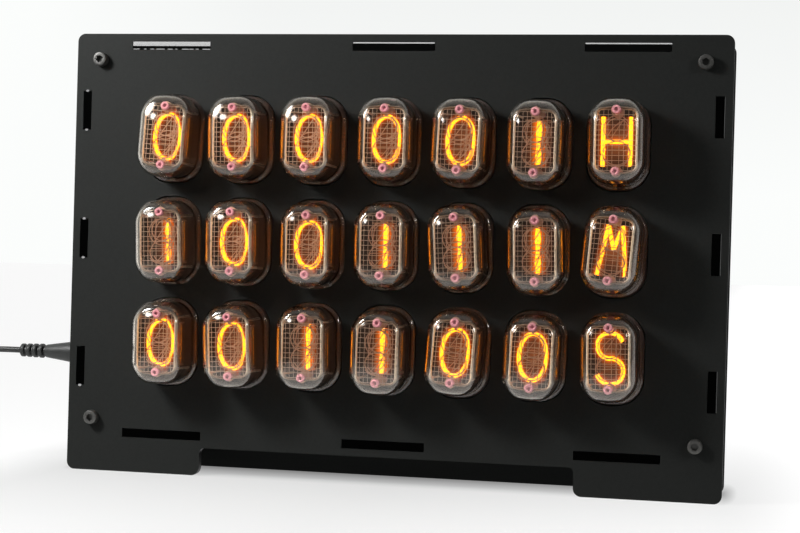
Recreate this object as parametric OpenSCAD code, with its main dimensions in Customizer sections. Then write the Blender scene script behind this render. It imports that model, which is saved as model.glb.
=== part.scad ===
// Binary nixie clock: three rows of end-view tubes in a slim sheet case, with its power lead.
// Sizes are in millimetres. X runs to the right, Y to the back and Z up.
// The origin is on the standing surface, under the middle of the clock without its lead.

/* [Case] */
// Width of the front and back panels
panel_w = 250; // [244:1:300]
// Height of the case above its feet
box_h = 158; // [154:1:200]
// Height of the feet
foot_h = 10.5; // [6:0.5:20]
// Width of each front foot
foot_w = 53.5; // [30:0.5:80]
// Thickness of the sheet that every panel is cut from
sheet = 3; // [2:0.25:4]
// Distance from a panel's edge to the outer face of the walls
wall_inset = 3; // [2:0.25:4]
// Radius of the panels' outer corners
corner_r = 3; // [1:0.5:6]
// Radius of the inner corners above the feet
notch_r = 2; // [0.5:0.25:4]

/* [Wall tabs] */
// Length of the tabs on the top and bottom walls
long_tab = 31; // [15:0.5:40]
// Distance between the tabs on the top and bottom walls
long_tab_pitch = 87; // [60:0.5:95]
// Length of the tabs on the side walls
short_tab = 14.6; // [8:0.2:25]
// Distance between the tabs on the side walls
short_tab_pitch = 49.4; // [30:0.2:55]
// Clearance along each face of a tab
tab_gap = 0.2; // [0.05:0.05:0.3]
// Clearance at each end of a tab
tab_end_gap = 0.25; // [0.1:0.05:0.5]

/* [Fasteners] */
// Diameter of the screws
screw_d = 3; // [2.5:0.1:4]
// Length of the screws under the head
screw_l = 10; // [7:0.5:12]
// Diameter of the screw heads
head_d = 5.5; // [4.5:0.1:7]
// Height of the screw heads
head_h = 3; // [2:0.1:4]
// Width across the flats of the hexagon socket
key_w = 2.5; // [1.5:0.1:3]
// Distance from the panels' edges to the screws
screw_inset = 10; // [9:0.25:13]
// Width across the flats of the spacers
spacer_w = 5.5; // [4.5:0.1:6]
// Clearance round a screw in a plain hole
hole_gap = 0.2; // [0.1:0.05:0.4]
// Clearance round a screw in its thread
thread_gap = 0.05; // [0.02:0.01:0.1]

/* [Tubes] */
// Distance between the tubes along a row
pitch_x = 28.2; // [26:0.1:30]
// Distance between the rows
pitch_z = 38.8; // [37:0.1:42]
// Width of a glass bulb
bulb_w = 20.6; // [19.5:0.1:21]
// Height of a glass bulb
bulb_h = 31.2; // [30:0.1:32.4]
// Radius of a bulb's corners, seen from the front
bulb_r = 8.6; // [7:0.1:9.7]
// Radius of a bulb's front edge
front_r = 3.4; // [3:0.1:5.5]
// Thickness of the glass
glass_t = 0.9; // [0.6:0.05:1.2]
// How far the bulbs stand out of the front panel
bulb_out = 19; // [17:0.5:24]
// How far the sealing flange stands out of the bulb
flange_out = 1; // [0.5:0.1:1.2]
// Thickness of the sealing flange
flange_t = 1.6; // [1:0.1:2.5]
// Clearance round the flange in the front panel
cutout_gap = 0.4; // [0.2:0.05:0.8]
// Thickness of a tube's base plate
base_t = 3; // [2:0.1:3.5]
// Diameter of the base pins
pin_d = 1; // [0.6:0.1:1.4]
// Length of the base pins
pin_l = 7; // [4:0.5:9]

/* [Inside the tubes] */
// Distance from a bulb's sides to the edge of the anode grid
grid_inset = 2.4; // [2:0.1:2.8]
// Distance from a bulb's ends to the edge of the anode grid
grid_end_inset = 3.4; // [3:0.1:3.8]
// Radius of the anode grid's corners
grid_r = 3.6; // [3.5:0.1:5]
// Thickness of the anode grid and the cathodes
plate_t = 0.4; // [0.2:0.05:0.6]
// Width of the anode grid's border and bars
bar_w = 0.5; // [0.3:0.05:0.8]
// Distance from the anode grid to the glass in front of it
grid_gap = 2.3; // [1.5:0.1:3]
// Diameter of the ceramic support rods
rod_d = 2.8; // [2:0.1:3]
// Distance of the support rods from the ends of a bulb
rod_inset = 4.6; // [4.4:0.1:5.2]
// How far the support rods stand out of the anode grid
rod_out = 0.4; // [0.2:0.1:1]
// Clearance round the support rods
rod_gap = 0.2; // [0.1:0.05:0.3]
// Height of the rearmost cathode above the base plate
stack_z = 5.4; // [4:0.2:7]
// Distance between the cathodes
stack_pitch = 2.3; // [1.2:0.1:2.6]
// Width of the figures
mark_w = 11.4; // [9:0.1:12]
// Width of a figure's stroke
stroke = 1.5; // [1:0.1:2]

/* [Display board] */
// Distance from the front panel to the tube sockets
socket_gap = 0.8; // [0.3:0.1:2]
// Height of the tube sockets
socket_h = 13.2; // [12:0.2:16]
// Wall round the pins in a socket
socket_wall = 2; // [1.5:0.1:3]
// Thickness of the circuit board
board_t = 1.6; // [0.8:0.1:2.4]
// Clearance between the board and the walls
board_gap = 1; // [0.5:0.1:2]
// Room between the board and the back panel
rear_room = 11.4; // [10.5:0.2:16]

/* [Set buttons] */
// Diameter of the button caps
button_d = 6; // [5:0.1:9]
// How far the buttons stand out of the back panel
button_out = 2; // [1.5:0.1:3]
// Travel of the buttons
button_travel = 1; // [0.5:0.1:1.5]
// Distance between the buttons
button_pitch = 16; // [12:0.5:20]
// Clearance round the caps in the back panel
button_gap = 0.4; // [0.2:0.05:0.8]
// Width of a switch under a button
switch_w = 7; // [6:0.2:9]
// Height of a switch under a button
switch_h = 3.6; // [3:0.1:5]
// Diameter of the button stems
stem_d = 3; // [2:0.1:3.5]
// Clearance round a stem in its switch
stem_gap = 0.3; // [0.2:0.05:0.5]

/* [Power inlet] */
// Height of the inlet above the lower edge of the case
inlet_up = 34; // [20:0.5:60]
// Height of the inlet's axis above the board
inlet_axis = 6.5; // [5.5:0.1:7]
// Outer diameter of the inlet's nose
nose_d = 8; // [7:0.1:9]
// Length of the inlet's housing
inlet_l = 10.5; // [9:0.1:14]
// Outer diameter of the plug's barrel
barrel_d = 5.5; // [4:0.1:5.6]
// Diameter of the inlet's centre pin
centre_d = 2; // [1:0.1:2.1]
// Clearance round the barrel and the centre pin
plug_gap = 0.3; // [0.2:0.05:0.4]
// Length of the barrel
barrel_l = 9.5; // [8:0.1:10]

/* [Power lead] */
// Diameter of the cord
cord_d = 2.4; // [2:0.1:2.6]
// Diameter of the plug's grip
grip_d = 8; // [7:0.1:9]
// Length of the plug's grip
grip_l = 17; // [14:0.5:20]
// Diameter of the ribs on the plug's strain relief
rib_d = 5.8; // [4.5:0.1:6.5]
// Number of ribs on the plug's strain relief
rib_n = 4; // [2:1:6]
// Distance between the ribs
rib_pitch = 2.6; // [2:0.1:3]
// Turns of the put-away coil in each of its four layers
layer_turns = 3; // [2:1:4]
// Distance between the coil's turns and between its layers
coil_step = 2.85; // [2.85:0.05:3.2]
// Thickness of the band that ties the coil
tie_t = 0.6; // [0.4:0.1:0.8]
// Length of the mains adapter
adapter_l = 58; // [45:1:75]
// Width of the mains adapter
adapter_w = 40; // [34:1:50]
// Height of the mains adapter
adapter_h = 28; // [24:1:36]
// Distance between the adapter's pins
prong_pitch = 19; // [17:0.5:22]

/* [Hidden] */
$fn = 48;
// A cut runs this far past what it cuts
over = 1;
READING = ["000001H", "100111M", "001100S"];
// The figures in a number tube and in a letter tube, from the base plate to the front
NUMBER_STACK = ["1", "7", "0", "8"];
LETTER_STACK = ["M", "S", "H"];
ROWS = 3;
COLUMNS = 7;

total_h = box_h + foot_h;
mid_z = foot_h + box_h / 2;
notch_w = panel_w - 2 * foot_w;
wall_w = panel_w - 2 * wall_inset;
wall_h = box_h - 2 * wall_inset;
inner_w = wall_w - 2 * sheet;
inner_h = wall_h - 2 * sheet;
screw_x = panel_w / 2 - screw_inset;
screw_zs = [foot_h + screw_inset, total_h - screw_inset];
case_inner = socket_gap + socket_h + board_t + rear_room;
socket_y = sheet + socket_gap;
seat_y = socket_y - base_t;
board_y = socket_y + socket_h;
rear_y = board_y + board_t;
back_y = sheet + case_inner;
rear_out = max(head_h, button_out);
overall_d = bulb_out + back_y + sheet + rear_out;
face_y = bulb_out - overall_d / 2;
key_deep = head_h * 0.55;
stud_l = board_t + screw_d;

flange_w = bulb_w + 2 * flange_out;
flange_h = bulb_h + 2 * flange_out;
flange_r = bulb_r + flange_out;
bulb_deep = bulb_out + seat_y;
grid_z = bulb_deep - glass_t - grid_gap - plate_t;
grid_w = bulb_w - 2 * grid_inset;
grid_h = bulb_h - 2 * grid_end_inset;
rod_off = bulb_h / 2 - rod_inset;
eyelet_r = rod_d / 2 + rod_gap;
ear_t = 0.4;
eyelet_t = 0.6;
mark_h = 2 * (rod_off - eyelet_r - eyelet_t / 2);
spine_w = 0.4;
loop_d = (mark_h + stroke) / 2;
grid_columns = 3;
grid_rows = 5;
window_w = grid_w - 2 * bar_w;
window_h = 2 * (rod_off - eyelet_r - bar_w);
leg_d = 0.8;
pin_ring_x = flange_w / 2 - 4;
pin_ring_z = flange_h / 2 - 4.5;
pin_r = pin_ring_x - 1;
pin_gap = 0.5;

button_x = panel_w / 2 - 55;
button_z = foot_h + 28 - mid_z;
stem_in = switch_h - 1;
button_spare = 0.4;
chip_pitch = panel_w * 0.14;
chip_z = 30;
cell_x = panel_w / 2 - 45;
supply_x = 35 - panel_w / 2;

nose_x = -wall_w / 2;
inlet_y = board_y - inlet_axis;
inlet_z = foot_h + inlet_up;
inlet_w = nose_d + 1;
inlet_back = nose_x + sheet + board_gap / 2;
grip_straight = 0.4 * grip_l;
relief_l = rib_n * rib_pitch + 0.6;
core_d = cord_d + 1.2;
lead_x = nose_x - grip_l - relief_l;

coil_mid_r = 6 * cord_d;
coil_out_r = coil_mid_r + layer_turns * coil_step / 2;
coil_in_r = coil_mid_r - layer_turns * coil_step / 2;
coil_layers = 4;
coil_rings = 24;
coil_turns = coil_layers * layer_turns;
tie_gap = 0.3;
tie_w = 5;
coil_z = tie_t + tie_gap + cord_d / 2;
coil_top_z = coil_z + (coil_layers - 1) * coil_step;
coil_x = -232;
lead_y = -7;
coil_y = lead_y + coil_out_r;
tail_end_x = -270;
tail_end_z = 11;
adapter_relief_l = 12;
prong_d = 4;
prong_l = 19;
island_t = 2;

// The lead leaves the plug, falls to the table and runs on to the coil
LEAD = [
    [lead_x, face_y + inlet_y, inlet_z], [-155, 2, 44.5], [-160, 2, 44.4], [-166, 2, 43.8], [-172, 1.8, 42],
    [-177.6, 1.5, 39], [-182.4, 1, 35], [-186.4, 0.4, 30.4], [-189.8, -0.4, 25.2], [-193, -1.2, 19.8],
    [-196.4, -2.2, 14.6], [-200.4, -3.4, 9.8], [-205.4, -4.8, 5.8], [-211.2, -6, 3.2], [-217.2, -6.8, 2.2],
    [-223.4, lead_y, coil_z], [coil_x + cord_d, lead_y, coil_z]
];
// The tail runs from the top of the coil to the adapter
TAIL = [
    [coil_x - cord_d, lead_y, coil_top_z], [-240, lead_y, 10.5], [-246, lead_y, 10.3], [-252, lead_y, 10.3],
    [-258, lead_y, 10.6], [-264, lead_y, 10.9], [tail_end_x, lead_y, tail_end_z]
];

function tube_name(r, c) = str("tube_r", r, "c", c);
function tube_x(c) = (c - (COLUMNS + 1) / 2) * pitch_x;
function tube_z(r) = mid_z + ((ROWS + 1) / 2 - r) * pitch_z;
function lit(r, c) = READING[r - 1][c - 1];
function stack_of(r, c) = c == COLUMNS ? LETTER_STACK : NUMBER_STACK;
function place_in(name, list) = max([for (i = [0:len(list) - 1]) list[i] == name ? i : -1]);
function unit(v) = v / norm(v);
function smooth(u) = u * u * (3 - 2 * u);

// Radius of the coil after t turns: each layer spirals in and the next one out again
function coil_r(t) =
    let (u = t / layer_turns, layer = floor(min(u, coil_layers - 0.001)), part = u - layer)
    layer % 2 == 0 ? coil_out_r - part * layer_turns * coil_step : coil_in_r + part * layer_turns * coil_step;
// Number of layers climbed after t turns, each in the half turn where the spiral reverses
function coil_climb(t) =
    let (change = round(t / layer_turns), off = t - change * layer_turns)
    change < 1 || change > coil_layers - 1 || abs(off) > 0.25
        ? floor(min(t / layer_turns, coil_layers - 0.001))
        : change - 1 + smooth((off + 0.25) * 2);
function coil_point(t) =
    let (a = -90 - 360 * t, r = coil_r(t))
    [coil_x + r * cos(a), coil_y + r * sin(a), coil_z + coil_climb(t) * coil_step];
COIL = concat(
    [[coil_x + cord_d, lead_y, coil_z]],
    [for (i = [0:coil_turns * coil_rings]) coil_point(i / coil_rings)],
    [[coil_x - cord_d, lead_y, coil_top_z]]
);
coil_gap = min([
    for (i = [0:len(COIL) - 1], j = [i + coil_rings / 2:1:len(COIL) - 1]) norm(COIL[i] - COIL[j])
]) - cord_d;
echo(coil_least_gap = coil_gap);

function heading(path, i) = unit(path[min(i + 1, len(path) - 1)] - path[max(i - 1, 0)]);
function ring(path, i, r, sides) =
    let (ahead = heading(path, i), side = unit(cross(ahead, [0, 0, 1])), up = cross(side, ahead))
    [for (k = [0:sides - 1]) path[i] + r * (cos(360 * k / sides) * side + sin(360 * k / sides) * up)];

// A round tube along a path, made of triangles
module swept(path, d, sides) {
    last = len(path) - 1;
    points = [for (i = [0:last]) each ring(path, i, d / 2, sides)];
    walls = [
        for (i = [0:last - 1], k = [0:sides - 1])
            let (a = i * sides + k, b = i * sides + (k + 1) % sides)
            each [[a, b + sides, b], [a, a + sides, b + sides]]
    ];
    ends = [
        for (k = [1:sides - 2])
            each [[0, k, k + 1], [last * sides, last * sides + k + 1, last * sides + k]]
    ];
    polyhedron(points, concat(walls, ends));
}

module rounded(w, h, r) {
    square([w - 2 * r, h], center = true);
    square([w, h - 2 * r], center = true);
    for (sx = [-1, 1], sz = [-1, 1])
        translate([sx * (w / 2 - r), sz * (h / 2 - r)]) circle(r);
}

// A tall oval of four arcs with round ends of radius e
module oval(w, h, e) {
    c = h / 2 - e;
    k = (c * c + w * w / 4 - e * e) / (w - 2 * e);
    intersection() {
        translate([w / 2 - k, 0]) circle(k, $fn = 96);
        translate([k - w / 2, 0]) circle(k, $fn = 96);
        square([w, 2 * c * k / (k - e)], center = true);
    }
    for (s = [-1, 1])
        translate([0, s * c]) circle(e);
}

// A sheet that stands facing the front, from y behind the panel's face
module upright(y, t) {
    translate([0, face_y + y + t, 0]) rotate([90, 0, 0]) linear_extrude(t) children();
}

module at_corners(y) {
    for (sx = [-1, 1], z = screw_zs)
        translate([sx * screw_x, face_y + y, z]) rotate([-90, 0, 0]) children();
}

module at_tube(r, c) {
    translate([tube_x(c), face_y + seat_y, tube_z(r)]) rotate([90, 0, 0]) children();
}

module at_tubes() {
    for (r = [1:ROWS], c = [1:COLUMNS])
        at_tube(r, c) children();
}

// Parts on the back of the board, with their height along Z
module on_board(x, z) {
    translate([x, face_y + rear_y, mid_z + z]) rotate([-90, 0, 0]) children();
}

module block(w, h, t) {
    translate([-w / 2, -h / 2, 0]) cube([w, h, t]);
}

module tab_slots() {
    slot_t = sheet + 2 * tab_gap;
    for (x = [-1:1], z = [total_h - wall_inset - sheet / 2, foot_h + wall_inset + sheet / 2])
        translate([x * long_tab_pitch, z]) square([long_tab + 2 * tab_end_gap, slot_t], center = true);
    for (sx = [-1, 1], z = [-1:1])
        translate([sx * (wall_w - sheet) / 2, mid_z + z * short_tab_pitch])
            square([slot_t, short_tab + 2 * tab_end_gap], center = true);
}

module screw_holes() {
    for (sx = [-1, 1], z = screw_zs)
        translate([sx * screw_x, z]) circle(screw_d / 2 + hole_gap);
}

// The space between the feet, with rounded corners above and below
module foot_notch() {
    translate([0, -over]) translate([-notch_w / 2, 0]) square([notch_w, foot_h - notch_r + over]);
    translate([notch_r - notch_w / 2, -over]) square([notch_w - 2 * notch_r, foot_h + over]);
    for (s = [-1, 1]) {
        translate([s * (notch_w / 2 - notch_r), foot_h - notch_r]) circle(notch_r);
        difference() {
            translate([s * notch_w / 2, 0]) square([2 * corner_r, 2 * corner_r], center = true);
            translate([s * (notch_w / 2 + corner_r), corner_r]) circle(corner_r);
        }
    }
}

module front_panel() {
    color("#1c1c1c") upright(0, sheet) difference() {
        translate([0, total_h / 2]) rounded(panel_w, total_h, corner_r);
        foot_notch();
        tab_slots();
        screw_holes();
        for (r = [1:ROWS], c = [1:COLUMNS])
            translate([tube_x(c), tube_z(r)])
                rounded(flange_w + 2 * cutout_gap, flange_h + 2 * cutout_gap, flange_r + cutout_gap);
    }
}

module back_panel() {
    color("#1c1c1c") upright(back_y, sheet) difference() {
        translate([0, total_h / 2]) rounded(panel_w, total_h, corner_r);
        tab_slots();
        screw_holes();
        for (i = [-1:1])
            translate([button_x + i * button_pitch, mid_z + button_z]) circle(button_d / 2 + button_gap);
    }
}

// A wall's outline: its plate, with tabs that reach through both panels
module tabbed(length, tab, pitch) {
    square([length, case_inner], center = true);
    for (i = [-1:1])
        translate([i * pitch, 0]) square([tab, case_inner + 2 * sheet], center = true);
}

module level_wall(z) {
    translate([0, face_y + sheet + case_inner / 2, z]) linear_extrude(sheet)
        tabbed(wall_w, long_tab, long_tab_pitch);
}

module side_wall(x) {
    translate([x, face_y + sheet + case_inner / 2, mid_z]) rotate([0, 90, 0]) linear_extrude(sheet)
        tabbed(inner_h, short_tab, short_tab_pitch);
}

module top_panel() {
    color("#202020") level_wall(total_h - wall_inset - sheet);
}

module bottom_panel() {
    color("#202020") level_wall(foot_h + wall_inset);
}

module left_panel() {
    color("#202020") difference() {
        side_wall(-wall_w / 2);
        translate([nose_x - over, face_y + inlet_y, inlet_z]) rotate([0, 90, 0])
            cylinder(d = nose_d + 2 * plug_gap, h = sheet + 2 * over);
    }
}

module right_panel() {
    color("#202020") side_wall(wall_w / 2 - sheet);
}

// A cap screw along Z with the underside of its head at the origin
module cap_screw() {
    cylinder(d = screw_d, h = screw_l);
    difference() {
        translate([0, 0, -head_h]) cylinder(d = head_d, h = head_h);
        translate([0, 0, -head_h - over]) cylinder(d = key_w / cos(30), h = key_deep + over, $fn = 6);
    }
}

module front_screws() {
    color("#181818") at_corners(0) cap_screw();
}

module rear_screws() {
    color("#181818") at_corners(back_y + sheet) mirror([0, 0, 1]) cap_screw();
}

module hex_bar(l) {
    rotate([0, 0, 30]) cylinder(d = spacer_w / cos(30), h = l, $fn = 6);
}

module front_spacers() {
    color("#b08d57") at_corners(sheet) difference() {
        hex_bar(board_y - sheet);
        translate([0, 0, -over]) cylinder(d = screw_d + 2 * thread_gap, h = board_y - sheet + 2 * over);
    }
}

module rear_spacers() {
    color("#b08d57") at_corners(rear_y) {
        difference() {
            hex_bar(rear_room);
            translate([0, 0, rear_room - (screw_l - sheet) - over])
                cylinder(d = screw_d + 2 * thread_gap, h = screw_l - sheet + 2 * over);
        }
        translate([0, 0, -stud_l]) cylinder(d = screw_d, h = stud_l);
    }
}

module display_board() {
    color("#14351f") upright(board_y, board_t) difference() {
        translate([0, mid_z]) square([inner_w - 2 * board_gap, inner_h - 2 * board_gap], center = true);
        screw_holes();
    }
}

module pin_oval(grow) {
    rounded(2 * (pin_ring_x + grow), 2 * (pin_ring_z + grow), pin_r + grow);
}

// A socket with an oval channel that takes a tube's pins
module tube_sockets() {
    reach = pin_d / 2 + pin_gap;
    color("#2b2723") at_tubes() translate([0, 0, -base_t - socket_h]) difference() {
        linear_extrude(socket_h) pin_oval(reach + socket_wall);
        translate([0, 0, socket_h - pin_l - 1]) linear_extrude(pin_l + 1 + over) difference() {
            pin_oval(reach);
            pin_oval(-reach);
        }
    }
}

// Half of a bulb's section, with its rounded front edge and its flange
module bulb_edge(r) {
    module shoulder(reach, deep, edge_r) {
        difference() {
            square([reach, deep]);
            translate([reach - edge_r, deep - edge_r]) difference() {
                square(2 * edge_r);
                circle(edge_r);
            }
        }
    }
    difference() {
        union() {
            shoulder(r, bulb_deep, front_r);
            square([r + flange_out, flange_t]);
        }
        translate([0, -over]) shoulder(r - glass_t, bulb_deep + over - glass_t, front_r - glass_t);
    }
}

// The section turned round the four corners and drawn along the straight sides
module bulb() {
    side_w = bulb_w - 2 * bulb_r;
    side_h = bulb_h - 2 * bulb_r;
    for (sx = [0, 1], sy = [0, 1])
        mirror([sx, 0, 0]) mirror([0, sy, 0]) translate([side_w / 2, side_h / 2, 0])
            rotate_extrude(angle = 90) bulb_edge(bulb_r);
    for (sx = [0, 1])
        mirror([sx, 0, 0]) translate([side_w / 2, side_h / 2, 0]) rotate([90, 0, 0])
            linear_extrude(side_h) bulb_edge(bulb_r);
    translate([-side_w / 2, 0, 0]) rotate([90, 0, 90]) linear_extrude(side_w) {
        bulb_edge(bulb_h / 2);
        mirror([1, 0]) bulb_edge(bulb_h / 2);
    }
}

module tube(r, c) {
    color("#5a4a40", 0.4) at_tube(r, c) bulb();
}

// Where the pins stand: three in each quarter of the oval
function pin_place(k) =
    k == 0 ? [pin_ring_x, pin_ring_z / 5]
           : [pin_ring_x - pin_r + pin_r * cos(40 * k), pin_ring_z - pin_r + pin_r * sin(40 * k)];

module tube_bases() {
    color("#8a8178") at_tubes() {
        translate([0, 0, -base_t]) linear_extrude(base_t) rounded(flange_w, flange_h, flange_r);
        for (k = [0:2], sx = [-1, 1], sz = [-1, 1])
            translate([sx * pin_place(k)[0], sz * pin_place(k)[1], -base_t - pin_l])
                cylinder(d = pin_d, h = pin_l, $fn = 16);
    }
}

// A stamped plate with a window of wires, carried on four legs
module anode_grids() {
    color("#c9c4bd") at_tubes() {
        translate([0, 0, grid_z]) linear_extrude(plate_t) {
            difference() {
                union() {
                    rounded(grid_w, grid_h, grid_r);
                    for (s = [-1, 1])
                        translate([0, s * rod_off]) circle(eyelet_r + ear_t);
                }
                square([window_w, window_h], center = true);
                for (s = [-1, 1])
                    translate([0, s * rod_off]) circle(eyelet_r);
            }
            for (i = [1:grid_columns - 1])
                translate([(i / grid_columns - 0.5) * window_w, 0]) square([bar_w, window_h + bar_w], center = true);
            for (i = [1:grid_rows - 1])
                translate([0, (i / grid_rows - 0.5) * window_h]) square([window_w + bar_w, bar_w], center = true);
        }
        for (sx = [-1, 1], sz = [-1, 1])
            translate([sx * (grid_w / 2 - leg_d), sz * (window_h / 2 + leg_d), 0])
                cylinder(d = leg_d, h = grid_z + plate_t / 2, $fn = 16);
    }
}

module support_rods() {
    color("#e39ab0") at_tubes() for (s = [-1, 1])
        translate([0, s * rod_off, 0]) difference() {
            cylinder(d = rod_d, h = grid_z + plate_t + rod_out);
            translate([0, 0, grid_z]) cylinder(d = rod_d / 3, h = plate_t + rod_out + over);
        }
}

module bar(from, to, w) {
    along = to - from;
    translate(from) rotate([0, 0, atan2(along[1], along[0])]) translate([0, -w / 2]) square([norm(along), w]);
}

module loop() {
    difference() {
        circle(d = loop_d);
        circle(d = loop_d - 2 * stroke);
    }
}

// An upper loop without its lower right quarter, and the same turned round
module letter_s() {
    for (a = [0, 180])
        rotate([0, 0, a]) translate([0, (mark_h - loop_d) / 2]) difference() {
            loop();
            translate([0, -loop_d / 2]) square(loop_d / 2);
        }
}

module mark(name) {
    half_w = (mark_w - stroke) / 2;
    half_h = mark_h / 2;
    if (name == "0") difference() {
        oval(mark_w, mark_h, mark_w / 4);
        oval(mark_w - 2 * stroke, mark_h - 2 * stroke, mark_w / 4 - stroke * 0.8);
    }
    if (name == "1") square([stroke, mark_h], center = true);
    if (name == "7") {
        translate([0, half_h - stroke]) square([mark_w, stroke], center = true);
        bar([half_w, half_h - stroke], [-stroke, -half_h], stroke);
    }
    if (name == "8") for (s = [-1, 1])
        translate([0, s * (mark_h - loop_d) / 2]) loop();
    if (name == "H") {
        square([mark_w, stroke], center = true);
        for (s = [-1, 1])
            translate([s * half_w, 0]) square([stroke, mark_h], center = true);
    }
    if (name == "M") for (s = [0, 1]) mirror([s, 0]) {
        bar([half_w, -half_h], [half_w / 2, half_h], stroke);
        bar([half_w / 2, half_h - stroke], [-stroke / 4, 0], stroke);
    }
    if (name == "S") letter_s();
}

// A figure cut from thin sheet, with an eyelet over each support rod
module cathode(name, stack) {
    translate([0, 0, stack_z + place_in(name, stack) * stack_pitch]) linear_extrude(plate_t) {
        mark(name);
        if (name != "0" && name != "1") square([spine_w, mark_h], center = true);
        for (s = [-1, 1])
            translate([0, s * rod_off]) difference() {
                circle(eyelet_r + eyelet_t);
                circle(eyelet_r);
            }
    }
}

module unlit_cathodes() {
    color("#9d8f86") for (r = [1:ROWS], c = [1:COLUMNS])
        at_tube(r, c) for (name = stack_of(r, c))
            if (name != lit(r, c)) cathode(name, stack_of(r, c));
}

module lit_cathodes(names) {
    color("#ffb020") for (r = [1:ROWS], c = [1:COLUMNS])
        if (place_in(lit(r, c), names) >= 0)
            at_tube(r, c) cathode(lit(r, c), stack_of(r, c));
}

module lit_zeros() {
    lit_cathodes(["0"]);
}

module lit_ones() {
    lit_cathodes(["1"]);
}

module lit_letters() {
    lit_cathodes(LETTER_STACK);
}

// A flat chip body on two rows of legs
module chip(w, h, t, leg) {
    translate([0, 0, 0.2]) block(w, h, t);
    for (s = [-1, 1])
        translate([0, s * (h / 2 + leg / 2), 0]) block(w - 1, leg, 0.4);
}

module microcontroller() {
    color("#26262a") on_board(-chip_pitch, -8) {
        chip(10, 10, 1.4, 1);
        rotate([0, 0, 90]) chip(10, 10, 1.4, 1);
    }
}

module driver_chips() {
    color("#26262a") {
        for (i = [-2:1])
            on_board(i * chip_pitch, chip_z) chip(10.3, 7.5, 2.3, 1.4);
        for (i = [-1:1])
            on_board(i * chip_pitch, -1.2 * chip_z) chip(10.3, 7.5, 2.3, 1.4);
    }
}

module boost_coil() {
    color("#3a3a3d") on_board(supply_x, chip_z) {
        cylinder(d = 12, h = 1.2);
        cylinder(d = 9, h = 6.4);
        translate([0, 0, 5.2]) cylinder(d = 12, h = 1.2);
    }
}

module storage_capacitor() {
    color("#7d8288") on_board(supply_x, 8) {
        block(10, 10, 1.2);
        cylinder(d = 9, h = 9);
    }
}

module cell_holder() {
    color("#1f1f1f") on_board(cell_x, chip_z) difference() {
        block(24, 24, 4.2);
        translate([0, 0, 0.8]) cylinder(d = 20.6, h = 4.2);
    }
}

module clock_cell() {
    color("#c0c3c6") on_board(cell_x, chip_z) translate([0, 0, 0.8]) {
        cylinder(d = 20, h = 2.6);
        translate([0, 0, 2.6]) cylinder(d = 17, h = 0.6);
    }
}

module button_switches() {
    color("#2c2c2e") for (i = [-1:1])
        on_board(button_x + i * button_pitch, button_z) difference() {
            block(switch_w, switch_w, switch_h);
            translate([0, 0, switch_h - stem_in]) cylinder(d = stem_d + 2 * stem_gap, h = stem_in + over);
        }
}

// A cap that stands out of the back panel, on a stem that runs in its switch
module set_button(i) {
    stem_from = switch_h - stem_in + button_travel + button_spare;
    cap_from = switch_h + button_travel + button_spare;
    cap_to = rear_room + sheet + button_out;
    edge = 0.6;
    on_board(button_x + i * button_pitch, button_z) {
        translate([0, 0, stem_from]) cylinder(d = stem_d, h = cap_from - stem_from + edge);
        translate([0, 0, cap_from]) cylinder(d = button_d, h = cap_to - cap_from - edge);
        translate([0, 0, cap_to - edge]) cylinder(d1 = button_d, d2 = button_d - 2 * edge, h = edge);
    }
}

module hour_button() {
    color("#303033") set_button(-1);
}

module minute_button() {
    color("#303033") set_button(0);
}

module second_button() {
    color("#303033") set_button(1);
}

// Things on the inlet's axis, with X along Z and the outer face of the wall at the origin
module at_inlet() {
    translate([nose_x, face_y + inlet_y, inlet_z]) rotate([0, 90, 0]) children();
}

module power_inlet() {
    housing_from = inlet_back - nose_x;
    bore_l = barrel_l + 0.5;
    color("#242424") {
        difference() {
            union() {
                at_inlet() cylinder(d = nose_d, h = housing_from + over);
                translate([inlet_back, face_y + board_y - inlet_axis - inlet_w / 2, inlet_z - inlet_w / 2])
                    cube([inlet_l, inlet_axis + inlet_w / 2, inlet_w]);
            }
            at_inlet() translate([0, 0, -over]) cylinder(d = barrel_d + 2 * plug_gap, h = bore_l + over);
        }
        at_inlet() translate([0, 0, 1]) cylinder(d = centre_d, h = bore_l);
    }
}

// A barrel plug: a straight grip that narrows to a ribbed strain relief
module power_plug() {
    neck_d = core_d + 1.4;
    color("#2a2a2c") at_inlet() {
        difference() {
            translate([0, 0, -over]) cylinder(d = barrel_d, h = barrel_l + over);
            cylinder(d = centre_d + 2 * plug_gap, h = barrel_l + over);
        }
        translate([0, 0, -grip_straight]) cylinder(d = grip_d, h = grip_straight);
        translate([0, 0, -grip_l]) cylinder(d1 = neck_d, d2 = grip_d, h = grip_l - grip_straight);
        translate([0, 0, -grip_l - relief_l]) cylinder(d = core_d, h = relief_l + over);
        for (i = [1:rib_n])
            translate([0, 0, -grip_l - i * rib_pitch]) cylinder(d = rib_d - 0.15 * i, h = rib_pitch * 0.55);
    }
}

module cord_lead() {
    color("#2a2e2c") swept(LEAD, cord_d, 8);
}

module cord_coil() {
    color("#2a2e2c") swept(COIL, cord_d, 6);
}

module cord_tail() {
    color("#2a2e2c") swept(TAIL, cord_d, 8);
}

// A flat band round the bundle of turns
module coil_tie() {
    slack = coil_in_r - sqrt(coil_in_r * coil_in_r - tie_w * tie_w / 4);
    in_x = coil_in_r - cord_d / 2 - slack - tie_gap;
    out_x = coil_out_r + cord_d / 2 + tie_gap;
    low = tie_t;
    high = coil_top_z + cord_d / 2 + tie_gap;
    color("#1d1d1f") translate([coil_x + (in_x + out_x) / 2, coil_y + tie_w / 2, (low + high) / 2])
        rotate([90, 0, 0]) linear_extrude(tie_w) difference() {
            square([out_x - in_x + 2 * tie_t, high - low + 2 * tie_t], center = true);
            square([out_x - in_x, high - low], center = true);
        }
}

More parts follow.
